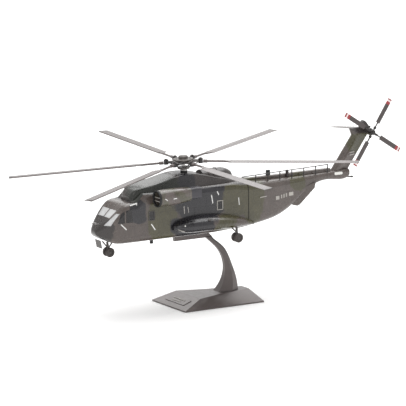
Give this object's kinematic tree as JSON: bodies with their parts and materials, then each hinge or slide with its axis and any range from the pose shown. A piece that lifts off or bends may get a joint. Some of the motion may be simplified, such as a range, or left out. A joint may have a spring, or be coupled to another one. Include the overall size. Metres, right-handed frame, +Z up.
{
  "type": "helicopter scale model",
  "caption": "Display model of a heavy transport helicopter with turning rotors and wheels, resting on a curved-arm desk stand.",
  "frame": {"origin": "centre of the stand base's underside", "axes": "+X towards the nose, +Y to port, +Z up"},
  "size_m": [0.3535, 0.3048, 0.1647],
  "materials": {
    "body_paint": "satin camouflage paint on die-cast and plastic body halves",
    "stand_metal": "satin metallic grey-brown",
    "black_plastic": "matt black moulding",
    "steel": "turned steel",
    "glazing": "clear moulding",
    "tyre": "matt tyre",
    "gear_metal": "dark satin",
    "rotor_paint": "satin dark grey",
    "dark_lamp": "gloss dark lens",
    "pale_lamp": "gloss pale lens"
  },
  "bodies": {
    "stand": {"base_shell": "stand_metal", "base_bottom_plate": "black_plastic", "base_screws": "steel", "title_plate": "stand_metal", "stand_arm": "stand_metal", "cradle_bar": "stand_metal", "support_pegs": "steel"},
    "airframe": {"antenna_rail": "black_plastic", "beacons": "dark_lamp", "belly_sockets": "black_plastic", "blade_antennas": "body_paint", "cabin_windows": "glazing", "cargo_ramp": "body_paint", "cockpit_side_windows": "glazing", "cockpit_tub": "black_plastic", "cooler_hump": "body_paint", "crew_seats": "black_plastic", "exhaust_ducts": "body_paint", "fuselage_port_half": "body_paint", "fuselage_starboard_half": "body_paint", "grab_rails": "body_paint", "intake_cores": "black_plastic", "intake_rings": "body_paint", "main_struts": "gear_metal", "mast_bearing": "black_plastic", "nose_gear_door": "body_paint", "nose_probes": "body_paint", "nose_strut": "gear_metal", "port_nacelle": "body_paint", "port_sponson": "body_paint", "ramp_strakes": "body_paint", "rotor_fairing": "body_paint", "shaft_cover": "body_paint", "side_lamps": "pale_lamp", "stabiliser": "body_paint", "starboard_nacelle": "body_paint", "starboard_sponson": "body_paint", "tail_bumper": "gear_metal", "tail_gearbox": "body_paint", "tail_pylon": "body_paint", "windshield": "glazing"},
    "main_rotor": {"rotor_mast": "steel", "rotor_hub": "rotor_paint", "beanie_cap": "rotor_paint", "swashplate": "rotor_paint", "blade_hinges": "rotor_paint", "main_blade_1": "rotor_paint", "main_blade_2": "rotor_paint", "main_blade_3": "rotor_paint", "main_blade_4": "rotor_paint", "main_blade_5": "rotor_paint", "main_blade_6": "rotor_paint"},
    "tail_rotor": {"tail_rotor_hub": "rotor_paint", "tail_blades": "rotor_paint"},
    "nose_wheels": {"nose_axle": "gear_metal", "nose_tyres": "tyre"},
    "port_wheels": {"port_axle": "gear_metal", "port_tyres": "tyre"},
    "starboard_wheels": {"starboard_axle": "gear_metal", "starboard_tyres": "tyre"}
  },
  "joints": [
    {"name": "lift_off", "type": "slide", "parent": "stand", "child": "airframe", "axis": [0, 0, 1], "range_m": [0, 0.012]},
    {"name": "main_rotor_spin", "type": "hinge", "parent": "airframe", "child": "main_rotor", "pos_m": [0.0235, 0, 0.1274], "axis": [0.0454, 0, 0.999], "continuous": true},
    {"name": "tail_rotor_spin", "type": "hinge", "parent": "airframe", "child": "tail_rotor", "pos_m": [-0.1643, 0.0104, 0.1354], "axis": [0, 1, 0], "continuous": true},
    {"name": "nose_wheels_spin", "type": "hinge", "parent": "airframe", "child": "nose_wheels", "pos_m": [0.099, 0, 0.0553], "axis": [0, 1, 0], "continuous": true},
    {"name": "port_wheels_spin", "type": "hinge", "parent": "airframe", "child": "port_wheels", "pos_m": [-0.0143, 0.0268, 0.0601], "axis": [0, 1, 0], "continuous": true},
    {"name": "starboard_wheels_spin", "type": "hinge", "parent": "airframe", "child": "starboard_wheels", "pos_m": [-0.0143, -0.0268, 0.0601], "axis": [0, 1, 0], "continuous": true}
  ]
}
